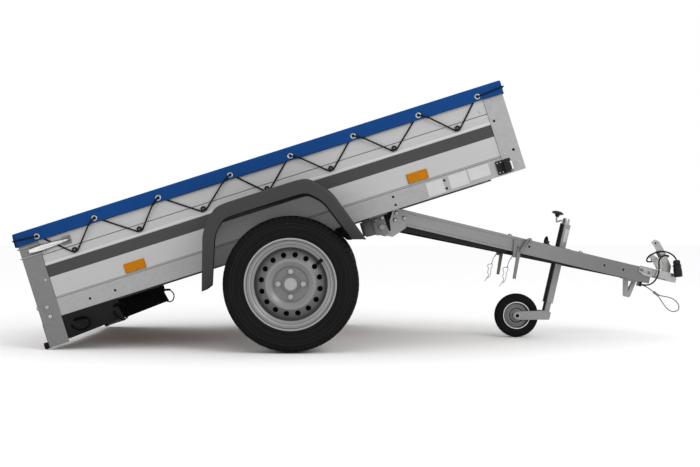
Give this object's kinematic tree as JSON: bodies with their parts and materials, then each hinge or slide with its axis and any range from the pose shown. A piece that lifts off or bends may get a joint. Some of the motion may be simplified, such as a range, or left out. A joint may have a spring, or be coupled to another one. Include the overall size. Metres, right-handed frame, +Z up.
{
  "type": "utility trailer",
  "caption": "Small tipping utility trailer with sheet sides, blue laced tarpaulin, black mudguards, V drawbar and jockey wheel, parked with its bed tipped back.",
  "frame": {"origin": "on the floor, midway between the trailer's rear and front ends and between its sides", "axes": "+X forward to the coupling, +Y to the trailer's left, +Z up from the floor"},
  "size_m": [2.8921, 1.528, 1.102],
  "materials": {
    "sheet": "satin light grey coated sheet",
    "steel": "hot-dip galvanised",
    "rim": "silver paint",
    "zinc": "bright zinc plated",
    "tyre": "matte black",
    "rubber": "matte black",
    "plastic": "moulded black",
    "fender": "moulded dark grey",
    "plywood": "film-faced plywood",
    "tarp": "blue coated polyester",
    "cord": "black elastic cord",
    "amber": "amber reflector",
    "lamp_red": "red lamp lens",
    "lamp_clear": "clear lamp lens",
    "wheel_plastic": "moulded light grey"
  },
  "bodies": {
    "chassis": {"sill_left": "steel", "sill_right": "steel", "cross_members": "steel", "floor_panel": "plywood", "side_panel_left": "sheet", "side_panel_right": "sheet", "front_panel": "sheet", "rear_posts": "steel", "front_posts": "steel", "rubber_buffers": "rubber", "lamp_guards": "plastic", "lamp_board": "steel", "rear_lamps": "lamp_red", "side_reflectors": "amber", "front_marker_lamps": "lamp_clear", "axle_tube": "steel", "axle_arms": "steel", "fender_left": "fender", "fender_right": "fender", "fender_stays": "steel", "tailgate_hinge_pins": "zinc", "catch_levers": "zinc", "tarpaulin": "tarp", "tarp_rear_flap": "tarp", "tarp_hooks": "plastic", "tarp_cord": "cord", "flap_cord": "cord", "hinge_brackets": "steel", "pivot_bolts": "zinc", "lamp_cables": "rubber"},
    "tailgate": {"tailgate_panel": "sheet", "tailgate_leaves": "zinc", "catch_bails": "zinc"},
    "wheel_left": {"tyre_left": "tyre", "rim_left": "rim", "hub_left": "zinc"},
    "wheel_right": {"tyre_right": "tyre", "rim_right": "rim", "hub_right": "zinc"},
    "drawbar": {"pivot_tube": "steel", "drawbar_arm_left": "steel", "drawbar_arm_right": "steel", "gusset_plates": "steel", "drawbar_tie": "steel", "jockey_clamp": "steel", "lock_straps": "zinc", "coupling_head": "zinc", "coupling_handle": "zinc", "support_foot": "steel", "cable_clip": "plastic", "power_cable": "rubber", "power_plug": "plastic", "safety_cable": "zinc", "cable_ferrule": "zinc"},
    "jockey_tube": {"jockey_tube": "steel", "jockey_crank": "zinc"},
    "jockey_leg": {"jockey_leg": "zinc"},
    "jockey_fork": {"jockey_fork": "steel"},
    "jockey_wheel": {"jockey_rim": "wheel_plastic", "jockey_tyre": "rubber"}
  },
  "joints": [
    {"name": "tailgate_hinge", "type": "hinge", "parent": "chassis", "child": "tailgate", "pos_m": [-1.33994, 0, 0.16831], "axis": [0, -1, 0], "range_deg": [0, 90], "deforming": ["tarp_rear_flap", "flap_cord"]},
    {"name": "wheel_left_spin", "type": "hinge", "parent": "chassis", "child": "wheel_left", "pos_m": [-0.29379, 0.667, 0.2735], "axis": [0, 1, 0], "continuous": true},
    {"name": "wheel_right_spin", "type": "hinge", "parent": "chassis", "child": "wheel_right", "pos_m": [-0.29379, -0.667, 0.2735], "axis": [0, 1, 0], "continuous": true},
    {"name": "drawbar_fold", "type": "hinge", "parent": "chassis", "child": "drawbar", "pos_m": [0.07451, 0, 0.50151], "axis": [0, -1, 0], "range_deg": [0, 27.95]},
    {"name": "jockey_tube_slide", "type": "slide", "parent": "drawbar", "child": "jockey_tube", "axis": [0.2239, 0, 0.9746], "range_m": [-0.08, 0.11]},
    {"name": "jockey_leg_slide", "type": "slide", "parent": "jockey_tube", "child": "jockey_leg", "axis": [0.2239, 0, 0.9746], "range_m": [-0.12, 0]},
    {"name": "jockey_swivel", "type": "hinge", "parent": "jockey_leg", "child": "jockey_fork", "pos_m": [0.84122, 0, 0.11852], "axis": [0.2239, 0, 0.9746], "continuous": true},
    {"name": "jockey_wheel_spin", "type": "hinge", "parent": "jockey_fork", "child": "jockey_wheel", "pos_m": [0.70563, 0, 0.1], "axis": [0, 1, 0], "continuous": true}
  ]
}
